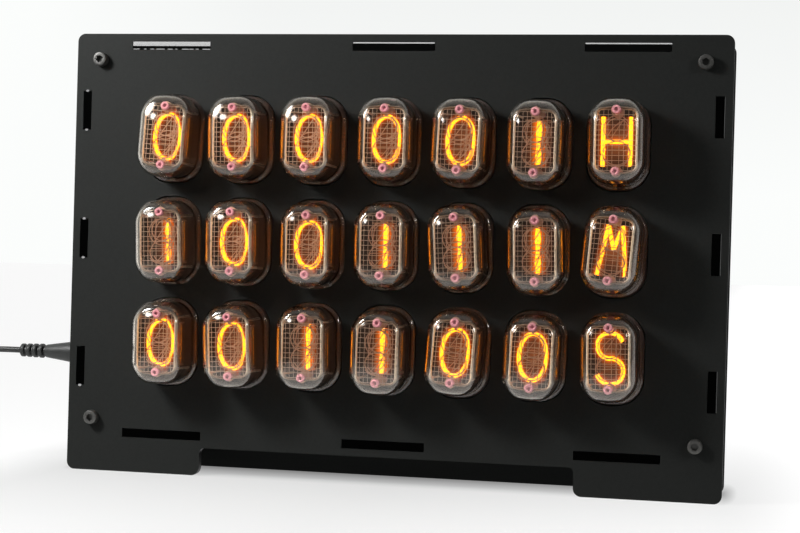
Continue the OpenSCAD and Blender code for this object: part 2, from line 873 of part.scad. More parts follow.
module adapter_relief() {
    color("#232325") translate([tail_end_x - adapter_relief_l, lead_y, tail_end_z]) rotate([0, 90, 0])
        cylinder(d1 = 2.6 * cord_d, d2 = 1.6 * cord_d, h = adapter_relief_l);
}

module adapter_body() {
    middle = [tail_end_x - adapter_relief_l - adapter_l / 2, lead_y, 0];
    color("#232325") translate(middle) {
        linear_extrude(adapter_h) rounded(adapter_l, adapter_w, 6);
        translate([0, 0, adapter_h]) linear_extrude(island_t) rounded(adapter_l * 0.62, adapter_w * 0.62, 5);
    }
}

// Two round pins with domed ends
module adapter_prongs() {
    middle = [tail_end_x - adapter_relief_l - adapter_l / 2, lead_y, adapter_h + island_t];
    color("#c9ccd0") translate(middle) for (s = [-1, 1])
        translate([s * prong_pitch / 2, 0, 0]) {
            cylinder(d = prong_d, h = prong_l - prong_d / 2);
            translate([0, 0, prong_l - prong_d / 2]) sphere(d = prong_d);
        }
}

front_panel();
back_panel();
top_panel();
bottom_panel();
left_panel();
right_panel();
front_screws();
rear_screws();
front_spacers();
rear_spacers();
display_board();
tube_sockets();
for (r = [1:ROWS], c = [1:COLUMNS])
    tube(r, c);
tube_bases();
anode_grids();
support_rods();
unlit_cathodes();
lit_zeros();
lit_ones();
lit_letters();
microcontroller();
driver_chips();
boost_coil();
storage_capacitor();
cell_holder();
clock_cell();
button_switches();
hour_button();
minute_button();
second_button();
power_inlet();
power_plug();
cord_lead();
cord_coil();
cord_tail();
coil_tie();
adapter_relief();
adapter_body();
adapter_prongs();
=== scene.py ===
"""Looks, light and camera for the binary nixie clock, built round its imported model."""
import math

import bpy
import numpy as np
from mathutils import Matrix, Vector


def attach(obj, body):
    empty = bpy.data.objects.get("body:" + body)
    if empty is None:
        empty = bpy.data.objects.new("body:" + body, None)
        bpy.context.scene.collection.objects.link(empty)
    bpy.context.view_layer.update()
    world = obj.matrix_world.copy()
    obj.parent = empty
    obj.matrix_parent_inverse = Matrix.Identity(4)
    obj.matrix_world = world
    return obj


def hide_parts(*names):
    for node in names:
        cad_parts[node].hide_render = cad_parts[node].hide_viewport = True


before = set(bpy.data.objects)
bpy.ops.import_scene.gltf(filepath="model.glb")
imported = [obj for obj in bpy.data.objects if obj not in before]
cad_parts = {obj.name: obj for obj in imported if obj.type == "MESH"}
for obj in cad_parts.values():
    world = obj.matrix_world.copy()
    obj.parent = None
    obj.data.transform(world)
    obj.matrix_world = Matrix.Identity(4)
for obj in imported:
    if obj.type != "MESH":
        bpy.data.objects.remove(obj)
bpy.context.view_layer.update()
scene = bpy.context.scene
scene.view_settings.view_transform = "Standard"

MM = 0.001

# Sizes in millimetres, as in the part's source
FACE_Y = -8.5
BACK_Y = 24.5
SEAT_Y = -7.7
MID_Z = 89.5
PITCH_X = 28.2
PITCH_Z = 38.8
BULB_W = 20.6
BULB_H = 31.2
BULB_R = 8.6
FRONT_R = 3.4
BULB_DEEP = 19.8
GRID_W = 15.8
GRID_H = 24.4
ROD_OFF = 11.0
ROD_R = 1.4
SCREW_X = 115.0
SCREW_ZS = (20.5, 158.5)
CORD_D = 2.4
PLUG_Y = 2.0
PLUG_Z = 44.5
ADAPTER_X = -311.0

# Sizes in millimetres that the looks have of their own
GLASS_T = 0.65
GRID_R = 2.8
CROWN_R = 55.0
INNER_R = 3.6
INNER_EDGE = 15.5525
END_BULGE = 1.8
CORNER_EASE = 2.0
GRID_RISE = 0.9
MESH_DEPTH = 16.2
GLOW_SHEET = 0.02

# What the tubes show, row by row
READING = ("000001H", "100111M", "001100S")
LETTER_COLUMN = 6

# How each tube sits in its socket: turned to the right, nodding down and rolled, in degrees
LEANS = (
    ((2, -1, 3), (-2, 0, -1), (-2.5, -1, 0), (2, -1, 0), (-0.5, -0.5, 1.5), (-2, 1, 0.5), (0.5, -2.5, -0.5)),
    ((1, 2, -1.5), (-1, 0, -1), (1.5, 1.5, 0), (1, 0, -0.5), (-1, 0, -3.5), (2, 1.5, -1.5), (-2, -2, 4)),
    ((0.5, -0.5, -0.5), (-0.5, 1, -2.5), (0, -1, -1), (0, 1.5, 0.5), (0, -2.5, 3), (1, -0.5, 1.5),
     (-1, -2.5, -1.5)),
)
# How far a tube shifts for each degree, in millimetres, and how much of the turn its face makes
LEAN_SHIFT = 0.14
LEAN_SHARE = 0.6


# Camera, solved from the photograph

CAMERA_AT = (0.13848, -0.64554, 0.08531)
CAMERA_YAW = 11.853
CAMERA_PITCH = -0.289
CAMERA_ROLL = 1.634
FOCAL_LENGTH = 78.66
SENSOR_WIDTH = 36
NEAR_LIMIT = 0.01


def place_camera():
    yaw, pitch, roll = (math.radians(a) for a in (CAMERA_YAW, CAMERA_PITCH, CAMERA_ROLL))
    right = Vector((math.cos(yaw), math.sin(yaw), 0))
    ahead = Vector((-math.sin(yaw) * math.cos(pitch), math.cos(yaw) * math.cos(pitch), math.sin(pitch)))
    up = right.cross(ahead)
    side = math.cos(roll) * right + math.sin(roll) * up
    top = -math.sin(roll) * right + math.cos(roll) * up
    lens = bpy.data.cameras.new("camera")
    lens.lens = FOCAL_LENGTH
    lens.sensor_width = SENSOR_WIDTH
    lens.clip_start = NEAR_LIMIT
    camera = bpy.data.objects.new("camera", lens)
    turn = Matrix((side, top, -ahead)).transposed().to_4x4()
    camera.matrix_world = Matrix.Translation(CAMERA_AT) @ turn
    scene.collection.objects.link(camera)
    scene.camera = camera


# Shapes

class Stock:
    """Points and faces of one piece, with a value at each point that its finish can use."""

    def __init__(self):
        self.points = []
        self.faces = []
        self.across = []
        self.count = 0

    def add(self, points, faces, place=None, across=None):
        points = np.asarray(points, float)
        if place is not None:
            turn = np.array(place)
            points = points @ turn[:3, :3].T + turn[:3, 3]
        self.points.append(points)
        self.across.append(np.zeros(len(points)) if across is None else np.asarray(across, float))
        self.faces += [[i + self.count for i in face] for face in faces]
        self.count += len(points)

    def piece(self, name, material, slot, smooth, replaced=(), across=False):
        """Makes the piece; faces that meet at less than smooth degrees are shaded as one."""
        mesh = bpy.data.meshes.new(name)
        mesh.from_pydata((np.vstack(self.points) * MM).tolist(), [], self.faces)
        if across:
            values = mesh.attributes.new("across", "FLOAT", "POINT")
            values.data.foreach_set("value", np.hstack(self.across))
        mesh.materials.append(material)
        obj = bpy.data.objects.new(name, mesh)
        scene.collection.objects.link(obj)
        if smooth:
            mesh.shade_smooth()
            mesh.set_sharp_from_angle(angle=math.radians(smooth))
        settle(obj, slot, *replaced)
        return obj


def settle(obj, slot, *replaced):
    """Fixes a piece to the case, in place of the named solids."""
    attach(obj, "clock")
    if replaced:
        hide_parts(*replaced)


def clamp(value):
    return min(1.0, max(0.0, value))


def rounded_ring(half_w, half_h, radius, steps, rise=0.0, end_steps=6):
    """Points of a rounded rectangle, anticlockwise from the right; its ends bulge by rise."""
    base = half_h - rise
    r = max(min(radius, half_w, base), 0.02)
    ring = []

    def put(x, z):
        part = clamp((abs(z) - base + r) / r)
        ring.append((x, z + math.copysign(rise * (1 - (x / half_w) ** 2) * part, z)))

    for i, (sx, sz) in enumerate(((1, 1), (-1, 1), (-1, -1), (1, -1))):
        for k in range(steps + 1):
            a = math.radians(90 * (i + k / steps))
            put(sx * (half_w - r) + r * math.cos(a), sz * (base - r) + r * math.sin(a))
        if sx == sz:
            for k in range(1, end_steps):
                put(sx * (half_w - r) * (1 - 2 * k / end_steps), sz * base)
    return ring


def loft(rings, closed=False, ends=(True, True)):
    """Skin over rings of equal length."""
    n = len(rings[0])
    points = [p for ring in rings for p in ring]
    last = len(rings) if closed else len(rings) - 1
    faces = []
    for i in range(last):
        a = i * n
        b = (i + 1) % len(rings) * n
        faces += [[a + k, a + (k + 1) % n, b + (k + 1) % n, b + k] for k in range(n)]
    if not closed and ends[0]:
        faces.append(list(range(n))[::-1])
    if not closed and ends[1]:
        faces.append([(len(rings) - 1) * n + k for k in range(n)])
    return points, faces


def inset_skin(half_w, half_h, radius, profile, steps, closed=False, rise=0.0):
    """A skin whose rings are a rounded rectangle pulled in by each inset, at each depth to the front."""
    rings = []
    for inset, depth in profile:
        ring = rounded_ring(half_w - inset, half_h - inset, radius - inset, steps, rise)
        rings.append([(x, -depth, z) for x, z in ring])
    return loft(rings, closed)


def turned(profile, n, ripple=None):
    """A piece turned round Y from (radius, depth to the front) pairs; ripple changes a radius by angle."""
    rings = []
    for i, (radius, depth) in enumerate(profile):
        ring = []
        for k in range(n):
            a = 2 * math.pi * k / n
            r = ripple(i, radius, a, k) if ripple else radius
            ring.append((r * math.cos(a), -depth, r * math.sin(a)))
        rings.append(ring)
    return loft(rings)


def box_bar(x0, x1, z0, z1, d0, d1):
    """A straight wire of square section between two depths."""
    corners = ((x0, z0), (x1, z0), (x1, z1), (x0, z1))
    points = [(x, -d, z) for d in (d0, d1) for x, z in corners]
    sides = [[0, 4, 5, 1], [1, 5, 6, 2], [2, 6, 7, 3], [3, 7, 4, 0]]
    return points, [[0, 1, 2, 3], [7, 6, 5, 4]] + sides


def ribbon(path, section, closed=False, swell=None):
    """A band along a flat path.

    section holds (offset, depth, value) round the band, and swell gives its width along the path.
    """
    path = np.asarray(path, float)
    ahead = np.roll(path, -1, 0) - np.roll(path, 1, 0)
    if not closed:
        ahead[0] = path[1] - path[0]
        ahead[-1] = path[-1] - path[-2]
    ahead /= np.linalg.norm(ahead, axis=1)[:, None]
    side = np.stack([ahead[:, 1], -ahead[:, 0]], 1)
    if swell:
        side = side * np.array([swell(i / (len(path) - 1)) for i in range(len(path))])[:, None]
    rings = [[(p[0] + o * s[0], -d, p[1] + o * s[1]) for o, d, _ in section] for p, s in zip(path, side)]
    points, faces = loft(rings, closed)
    return points, faces, [value for _ in path for _, _, value in section]


def band(half_w, half_t, depth):
    """The section of a flat band at a depth, for ribbon."""
    return [(-half_w, depth - half_t, 1), (half_w, depth - half_t, 1),
            (half_w, depth + half_t, 1), (-half_w, depth + half_t, 1)]


# Strokes of the figures, in millimetres round the middle of a tube

STROKE_STEP = 0.9
H_HALF = 4.95


def arc(cx, cz, rx, rz, a0, a1, n):
    angles = [math.radians(a) for a in np.linspace(a0, a1, n)]
    return [(cx + rx * math.cos(a), cz + rz * math.sin(a)) for a in angles]


def straight(x0, z0, x1, z1):
    """A straight stroke with points close together, so that its ends stay square."""
    n = max(2, int(math.hypot(x1 - x0, z1 - z0) / STROKE_STEP))
    return [(x0 + (x1 - x0) * i / n, z0 + (z1 - z0) * i / n) for i in range(n + 1)], False


def bow(*sizes):
    """An open round stroke."""
    return arc(*sizes), False


def loop(cx, cz, rx, rz, n):
    """A closed round stroke."""
    return arc(cx, cz, rx, rz, 90, 450, n)[:-1], True


STROKES = {
    "0": [loop(0, 0, 5.0, 8.4, 49)],
    "1": [straight(0, -8.6, 0, 8.6)],
    "2": [(arc(0, 4.0, 4.5, 4.3, 165, -35, 20) + [(-4.6, -8.3)], False), straight(-4.8, -8.3, 4.8, -8.3)],
    "3": [bow(0, 4.2, 4.2, 4.1, 150, -85, 20), bow(0, -4.1, 4.8, 4.2, 85, -150, 22)],
    "4": [straight(2.3, -8.4, 2.3, 8.4), straight(2.3, 8.4, -5, -2.8), straight(-5, -2.8, 5, -2.8)],
    "5": [straight(4.2, 8.3, -3.4, 8.3), straight(-3.4, 8.3, -4.3, 0.8),
          bow(-0.2, -3.0, 5.0, 5.3, 145, -150, 26)],
    "6": [loop(0, -3.5, 4.8, 4.8, 30), bow(5.2, -3.0, 10.0, 11.6, 178, 108, 16)],
    "7": [straight(-4.8, 8.3, 4.8, 8.3), straight(4.8, 8.3, -1.6, -8.4)],
    "8": [loop(0, 4.2, 4.1, 4.1, 26), loop(0, -4.1, 4.9, 4.2, 28)],
    "9": [loop(0, 3.5, 4.8, 4.8, 30), bow(-5.2, 3.0, 10.0, 11.6, 2, -72, 16)],
    "H": [straight(-H_HALF, -8.9, -H_HALF, 8.9), straight(H_HALF, -8.9, H_HALF, 8.9),
          straight(-H_HALF, 0, H_HALF, 0)],
    "M": ([straight(s * 5.2, -9.2, s * 2.6, 9.2) for s in (-1, 1)]
          + [straight(s * 2.5, 8.8, 0, 0.4) for s in (-1, 1)]),
    "S": [(arc(0, 4.5, 4.6, 4.6, 15, 268, 26) + arc(0, -4.5, 4.8, 4.6, 88, -165, 26), False)],
}
# Depth of each lit figure over the base plate and half the width of its stroke
LIT_DEPTH = {"0": 10.2, "1": 5.6, "M": 5.6, "S": 7.9, "H": 10.2}
STROKE_HALF = {"0": 0.78, "1": 1.1, "M": 0.75, "S": 0.78, "H": 0.78}
# The figures that are off and their depths
OFF_NUMBERS = (("3", 14.6), ("9", 13.5), ("8", 12.4), ("4", 11.2), ("5", 8.9), ("7", 7.8), ("2", 6.7))
OFF_LETTERS = (("S", 12.4), ("8", 11.2), ("4", 8.9), ("6", 6.7))


def tube_place(row, column):
    turn, nod, roll = LEANS[row][column]
    x = (column - 3) * PITCH_X + LEAN_SHIFT * turn
    z = MID_Z + (1 - row) * PITCH_Z - LEAN_SHIFT * nod
    place = Matrix.Translation((x, SEAT_Y, z))
    for angle, axis in ((LEAN_SHARE * turn, "Z"), (LEAN_SHARE * nod, "X"), (roll, "Y")):
        place = place @ Matrix.Rotation(math.radians(angle), 4, axis)
    return place


TUBES = [(r, c, tube_place(r, c), READING[r][c]) for r in range(3) for c in range(7)]


# Nodes of a finish

def node(tree, kind, links=(), **values):
    """A new node; links pairs its sockets with outputs to join or plain values to set."""
    made = tree.nodes.new("ShaderNode" + kind)
    for key, value in values.items():
        setattr(made, key, value)
    for socket, source in links:
        if hasattr(source, "is_linked"):
            tree.links.new(source, made.inputs[socket])
        else:
            made.inputs[socket].default_value = source
    return made


def maths(tree, operation, *values):
    return node(tree, "Math", enumerate(values), operation=operation).outputs[0]


def vectors(tree, operation, *values, scale=None):
    made = node(tree, "VectorMath", enumerate(values), operation=operation)
    if scale is not None:
        tree.links.new(scale, made.inputs["Scale"])
    return made.outputs["Value" if operation in ("DOT_PRODUCT", "LENGTH", "DISTANCE") else "Vector"]


def ramp(tree, value, low, high, to_low=0.0, to_high=1.0, **options):
    """A value carried over from one range to another and held at both ends."""
    links = (("Value", value), ("From Min", low), ("From Max", high), ("To Min", to_low), ("To Max", to_high))
    return node(tree, "MapRange", links, **options).outputs[0]


def blend(tree, factor, first, second):
    """A colour between two others."""
    return node(tree, "Mix", (("Factor", factor), (6, first), (7, second)), data_type="RGBA").outputs[2]


def between(tree, factor, first, second):
    """A value between two others."""
    return node(tree, "Mix", (("Factor", factor), (2, first), (3, second))).outputs[0]


def new_group(name, takes, gives):
    group = bpy.data.node_groups.new(name, "ShaderNodeTree")
    for label, kind, value in takes:
        socket = group.interface.new_socket(label, in_out="INPUT", socket_type="NodeSocket" + kind)
        socket.default_value = value
    for label, kind in gives:
        group.interface.new_socket(label, in_out="OUTPUT", socket_type="NodeSocket" + kind)
    return group, group.nodes.new("NodeGroupInput"), group.nodes.new("NodeGroupOutput")


def grain_group():
    """Uneven colour, uneven polish and fine bumps, at a grain size in metres."""
    group, take, give = new_group(
        "surface grain",
        (("Grain", "Float", 0.002), ("Dark", "Color", (0, 0, 0, 1)), ("Light", "Color", (1, 1, 1, 1)),
         ("Smooth", "Float", 0.4), ("Rough", "Float", 0.6)),
        (("Color", "Color"), ("Roughness", "Float"), ("Height", "Float")))
    where = node(group, "TexCoord").outputs["Object"]
    scale = maths(group, "DIVIDE", 1.0, take.outputs["Grain"])
    broad = node(group, "TexNoise", (("Vector", where), ("Scale", scale), ("Detail", 3.0))).outputs["Fac"]
    fine_scale = maths(group, "MULTIPLY", scale, 5.0)
    fine = node(group, "TexNoise", (("Vector", where), ("Scale", fine_scale), ("Detail", 2.0))).outputs["Fac"]
    half = maths(group, "MULTIPLY", maths(group, "ADD", broad, fine), 0.5)
    colour = blend(group, ramp(group, half, 0.35, 0.65), take.outputs["Dark"], take.outputs["Light"])
    polish = ramp(group, broad, 0.3, 0.7, take.outputs["Smooth"], take.outputs["Rough"])
    for label, source in (("Color", colour), ("Roughness", polish), ("Height", fine)):
        group.links.new(source, give.inputs[label])
    return group


def cut_group():
    """A mask that is 1 on the cut edges of a sheet whose faces look along an axis."""
    group, take, give = new_group("cut edge", (("Face axis", "Vector", (0, 1, 0)),), (("Edge", "Float"),))
    facing = node(group, "NewGeometry").outputs["True Normal"]
    along = vectors(group, "DOT_PRODUCT", facing, take.outputs["Face axis"])
    edge = maths(group, "LESS_THAN", maths(group, "ABSOLUTE", along), 0.5)
    group.links.new(edge, give.inputs["Edge"])
    return group


GRAIN = grain_group()
CUT = cut_group()


def grain_node(tree, grain, dark, light, smooth, rough):
    values = (("Grain", grain), ("Dark", dark), ("Light", light), ("Smooth", smooth), ("Rough", rough))
    return node(tree, "Group", values, node_tree=GRAIN)


# Finishes

def finish(name, **sockets):
    """A new material and its main shader, with plain values set on the shader's own sockets."""
    material = bpy.data.materials.new(name)
    material.use_nodes = True
    shader = material.node_tree.nodes["Principled BSDF"]
    for key, value in sockets.items():
        shader.inputs[key.replace("_", " ")].default_value = value
    return material, material.node_tree, shader


def shade(colour, factor):
    return tuple(min(1.0, v * factor) for v in colour) + (1.0,)


def grained(name, colour, smooth, rough, grain, spread, bump, **sockets):
    """A material with grain in its colour, polish and surface."""
    material, tree, shader = finish(name, **sockets)
    place = grain_node(tree, grain, shade(colour, 1 - spread), shade(colour, 1 + spread), smooth, rough)
    tree.links.new(place.outputs["Color"], shader.inputs["Base Color"])
    tree.links.new(place.outputs["Roughness"], shader.inputs["Roughness"])
    if bump:
        links = (("Strength", bump), ("Distance", 0.0001), ("Height", place.outputs["Height"]))
        tree.links.new(node(tree, "Bump", links).outputs["Normal"], shader.inputs["Normal"])
    return material


# Bright bands on the top panel's tab ends, in metres: how far in X the left end reaches, the heights from
# which the other ends and the left end are bright, and the height under which the left end has a dashed line
LEFT_TAB_X = -0.06
THIN_BAND_Z = 0.16505
BROAD_BAND_Z = 0.16385
LOW_LINE_Z = 0.16278


def tab_light(tree, position):
    """How the top panel's cut ends lean to catch the lamp: broadly at the left, in a thin line elsewhere."""
    parts = node(tree, "SeparateXYZ", ((0, position),)).outputs
    left = maths(tree, "LESS_THAN", parts["X"], LEFT_TAB_X)
    band_from = between(tree, left, THIN_BAND_Z, BROAD_BAND_Z)
    bright = maths(tree, "GREATER_THAN", parts["Z"], band_from)
    low = maths(tree, "LESS_THAN", parts["Z"], LOW_LINE_Z)
    noise = node(tree, "TexNoise", (("Vector", position), ("Scale", 700.0))).outputs["Fac"]
    dashed = maths(tree, "MULTIPLY", low, maths(tree, "GREATER_THAN", noise, 0.47))
    line = maths(tree, "MULTIPLY", dashed, left)
    lit = maths(tree, "MAXIMUM", bright, line)
    sideways = maths(tree, "MULTIPLY_ADD", parts["X"], -1.075, -0.1545)
    aim = node(tree, "CombineXYZ", (("X", sideways), ("Z", 0.1))).outputs[0]
    return vectors(tree, "SCALE", aim, scale=lit)


def sheet_finish(name, axis, cut_tilt=0.0, cut_rough=0.09, gloss=0.1, top_light=False):
    """Matt black sheet; its laser-cut edges have a polish of their own and lean up, or as tab_light says."""
    material, tree, shader = finish(name, Specular_IOR_Level=gloss)
    place = grain_node(tree, 0.0009, (0.026, 0.0276, 0.0263, 1), (0.032, 0.0339, 0.0322, 1), 0.5, 0.56)
    edge = node(tree, "Group", (("Face axis", axis),), node_tree=CUT).outputs["Edge"]
    colour = blend(tree, edge, place.outputs["Color"], (0.0008, 0.0009, 0.0008, 1))
    polish = between(tree, edge, place.outputs["Roughness"], cut_rough)
    where = node(tree, "NewGeometry").outputs
    lean = tab_light(tree, where["Position"]) if top_light else (0.0, 0.0, cut_tilt)
    on_edge = vectors(tree, "SCALE", lean, scale=edge)
    leaning = vectors(tree, "NORMALIZE", vectors(tree, "ADD", where["Normal"], on_edge))
    links = (("Strength", 0.12), ("Distance", 0.00005), ("Height", place.outputs["Height"]),
             ("Normal", leaning))
    relief = node(tree, "Bump", links).outputs["Normal"]
    for label, source in (("Base Color", colour), ("Roughness", polish), ("Normal", relief)):
        tree.links.new(source, shader.inputs[label])
    return material


def glass_finish():
    """Clear, slightly smoky glass; lamps shine in through its face, and its walls shade what is behind."""
    material, tree, shader = finish("tube glass", Base_Color=(0.94, 0.86, 0.745, 1), Roughness=0.0, IOR=1.62,
                                    Transmission_Weight=1.0)
    facing = node(tree, "NewGeometry").outputs["Normal"]
    along = maths(tree, "ABSOLUTE", vectors(tree, "DOT_PRODUCT", facing, (0, 1, 0)))
    through = blend(tree, ramp(tree, along, 0.3, 0.85), (0.05, 0.035, 0.025, 1), (0.85, 0.8, 0.74, 1))
    clear = node(tree, "BsdfTransparent", (("Color", through),)).outputs[0]
    shadow = node(tree, "LightPath").outputs["Is Shadow Ray"]
    both = node(tree, "MixShader", ((0, shadow), (1, shader.outputs[0]), (2, clear))).outputs[0]
    tree.links.new(both, tree.nodes["Material Output"].inputs["Surface"])
    return material


def frame_finish():
    """Polished nickel, with painted shade that turns the frame's ends dull brown."""
    material = grained("polished nickel", (0.94, 0.92, 0.9), 0.25, 0.35, 0.0015, 0.05, 0.05, Metallic=0.25)
    tree = material.node_tree
    base = tree.nodes["Principled BSDF"].inputs["Base Color"]
    bright = base.links[0].from_socket
    ends = node(tree, "Attribute", attribute_name="across").outputs["Fac"]
    # Painted shade: the frame's top and bottom ends are coloured dull brown
    tree.links.new(blend(tree, ends, bright, (0.22, 0.165, 0.14, 1)), base)
    return material


def glow_finish():
    """A lit figure: brightest along the middle of its stroke."""
    material, tree, shader = finish("neon on nickel", Base_Color=(0.12, 0.06, 0.03, 1), Roughness=0.5,
                                    Emission_Strength=3.4)
    across = node(tree, "Attribute", attribute_name="across").outputs["Fac"]
    colour = blend(tree, maths(tree, "POWER", across, 7.0), (1.0, 0.43, 0.008, 1), (0.95, 0.27, 0.004, 1))
    tree.links.new(colour, shader.inputs["Emission Color"])
    return material


def haze_finish(name, colour, strength, dense):
    """The thin glow in the gas round a lit figure, which fades out to the sides."""
    material, tree, shader = finish(name, Base_Color=(0, 0, 0, 1), Roughness=1.0, Specular_IOR_Level=0.0,
                                    Emission_Color=colour, Emission_Strength=strength)
    across = node(tree, "Attribute", attribute_name="across").outputs["Fac"]
    fade = maths(tree, "POWER", maths(tree, "SUBTRACT", 1.0, across), 1.8)
    tree.links.new(maths(tree, "MULTIPLY", fade, dense), shader.inputs["Alpha"])
    return material


# The power lead

COIL_X = -232.0
COIL_Z = 2.1
LEAD_Y = -7.0
COIL_STEP = 2.85
LAYER_TURNS = 3
LAYERS = 4
TURN_POINTS = 48
# How many turns before and after a change of layer the coil climbs
CLIMB_TURNS = 0.25
COIL_R = 6 * CORD_D
COIL_OUT = COIL_R + LAYER_TURNS * COIL_STEP / 2
COIL_IN = COIL_R - LAYER_TURNS * COIL_STEP / 2
COIL_Y = LEAD_Y + COIL_OUT
COIL_TOP = COIL_Z + (LAYERS - 1) * COIL_STEP
LEAD = [
    (-150, PLUG_Y, PLUG_Z), (-155, 2, 44.5), (-160, 2, 44.4), (-166, 2, 43.8), (-172, 1.8, 42),
    (-177.6, 1.5, 39), (-182.4, 1, 35), (-186.4, 0.4, 30.4), (-189.8, -0.4, 25.2), (-193, -1.2, 19.8),
    (-196.4, -2.2, 14.6), (-200.4, -3.4, 9.8), (-205.4, -4.8, 5.8), (-211.2, -6, 3.2), (-217.2, -6.8, 2.2),
    (-223.4, LEAD_Y, COIL_Z), (COIL_X + CORD_D, LEAD_Y, COIL_Z),
]
TAIL = [
    (COIL_X - CORD_D, LEAD_Y, COIL_TOP), (-240, LEAD_Y, 10.5), (-246, LEAD_Y, 10.3), (-252, LEAD_Y, 10.3),
    (-258, LEAD_Y, 10.6), (-264, LEAD_Y, 10.9), (-270, LEAD_Y, 11), (-285, LEAD_Y, 11), (-300, LEAD_Y, 11),
]


def smooth_path(points, per=4):
    """Points of a smooth curve through the given ones."""
    p = np.asarray(points, float)
    p = np.vstack([2 * p[0] - p[1], p, 2 * p[-1] - p[-2]])
    out = []
    for i in range(1, len(p) - 2):
        a, b, c, d = p[i - 1:i + 3]
        for t in np.arange(per) / per:
            square = (2 * a - 5 * b + 4 * c - d) * t ** 2
            cube = (3 * b - a - 3 * c + d) * t ** 3
            out.append(0.5 * (2 * b + (c - a) * t + square + cube))
    return out + [p[-2]]


def coil_point(t):
    """The coil after t turns: each layer spirals in and the next one out, climbing where it turns back."""
    u = t / LAYER_TURNS
    layer = int(min(u, LAYERS - 0.001))
    part = (u - layer) * LAYER_TURNS * COIL_STEP
    r = COIL_OUT - part if layer % 2 == 0 else COIL_IN + part
    change = math.floor(u + 0.5)
    off = t - change * LAYER_TURNS
    climb = layer
    if 1 <= change <= LAYERS - 1 and abs(off) <= CLIMB_TURNS:
        s = (off + CLIMB_TURNS) / (2 * CLIMB_TURNS)
        climb = change - 1 + s * s * (3 - 2 * s)
    a = math.radians(-90 - 360 * t)
    return COIL_X + r * math.cos(a), COIL_Y + r * math.sin(a), COIL_Z + climb * COIL_STEP


def lay_cord(material):
    coil = [coil_point(i / TURN_POINTS) for i in range(LAYER_TURNS * LAYERS * TURN_POINTS + 1)]
    route = smooth_path(LEAD) + coil + smooth_path(TAIL)
    curve = bpy.data.curves.new("power_cord", "CURVE")
    curve.dimensions = "3D"
    curve.bevel_depth = CORD_D / 2 * MM
    curve.bevel_resolution = 3
    curve.use_fill_caps = True
    spline = curve.splines.new("POLY")
    spline.points.add(len(route) - 1)
    for point, at in zip(spline.points, route):
        point.co = (*(np.asarray(at) * MM), 1)
    curve.materials.append(material)
    cord = bpy.data.objects.new("power_cord", curve)
    scene.collection.objects.link(cord)
    settle(cord, "cord_jacket", "cord_lead", "cord_coil", "cord_tail")
    length = sum(float(np.linalg.norm(np.subtract(b, a))) for a, b in zip(route, route[1:])) * MM
    return cord, length


def plug_piece(material):
    """The plug: barrel, grip, taper and ribbed strain relief, as (radius, X) pairs turned round X."""
    neck = 1.8
    profile = [(0, -112.5), (2.5, -112.5), (2.75, -112.8), (2.75, -122)]
    profile += [(3.7, -122.0), (4.0, -122.4), (4.0, -128.6), (3.9, -129.6)]
    profile += [(3.9 - 1.35 * t, -129.6 - 9.2 * t) for t in (0.25, 0.5, 0.75, 0.95)]
    profile += [(2.45, -139.0), (neck, -139.2)]
    for i in range(1, 5):
        r = (5.8 - 0.15 * i) / 2
        x = -139 - 2.6 * i
        profile += [(neck, x + 1.43), (r - 0.15, x + 1.43), (r, x + 1.25)]
        profile += [(r, x + 0.2), (r - 0.15, x), (neck, x)]
    profile += [(neck, -149.6), (1.6, -150.0), (0, -150.0)]
    points, faces = turned(profile, 40)
    stock = Stock()
    lying = [(-y, x, z) for x, y, z in points]
    stock.add(lying, [face[::-1] for face in faces], Matrix.Translation((0, PLUG_Y, PLUG_Z)))
    return stock.piece("ribbed_plug", material, "plug_rubber", 40, ["power_plug"])


def adapter_piece(material):
    """The mains adapter: a rounded body with a parting groove and a raised pin seat, as (inset, Z) pairs."""
    stock = Stock()
    body = [(1.6, 0), (0.5, 0.35), (0, 1.4), (0, 18.2), (0.45, 18.4), (0.45, 18.9), (0, 19.1), (0, 25.6),
            (0.35, 27.0), (1.4, 27.8), (2.6, 28)]
    seat = [(0, 27.9), (0, 29.4), (0.3, 29.85), (0.9, 30)]
    for half_w, half_h, radius, profile in ((29, 20, 6, body), (17.98, 12.4, 5, seat)):
        points, faces = inset_skin(half_w, half_h, radius, profile, 8)
        upright = [(x, z, -y) for x, y, z in points]
        stock.add(upright, faces, Matrix.Translation((ADAPTER_X, LEAD_Y, 0)))
    return stock.piece("adapter_case", material, "adapter_plastic", 35, ["adapter_body"])


# The tubes

# How far the face drops beyond its arc near the sides and the ends, and where it does, from its middle
SIDE_DROP = 0.4
SIDE_AT = 8
END_DROP = 0.2
END_AT = 13
# Depths where the outline is squared and where it begins to take the crown, and the span of that change
SQUARED_AT = 12
CROWN_FROM = 8
CROWN_SPAN = 6
# Where the painted shade on a frame's ends begins, from its middle, and the span of that change
PAINTED_SHADE_FROM = 8.5
PAINTED_SHADE_SPAN = 2.5


def crown_drop(x, z):
    """How far the face falls back from its middle."""
    edges = SIDE_DROP * (x / SIDE_AT) ** 4 + END_DROP * (z / END_AT) ** 4
    return (x * x + z * z) / (2 * CROWN_R) + edges


def bulb_ring(inset, depth):
    """The bulb's outline at a depth: oval at the flange, then squarer with bulging ends, then crowned."""
    part = clamp(depth / SQUARED_AT)
    part *= part * (3 - 2 * part)
    radius = BULB_R - CORNER_EASE * part - inset
    outline = rounded_ring(BULB_W / 2 - inset, BULB_H / 2 - inset, radius, 10, END_BULGE * part, 8)
    crown = clamp((depth - CROWN_FROM) / CROWN_SPAN)
    return [(x, -depth + crown * crown_drop(x, z), z) for x, z in outline]


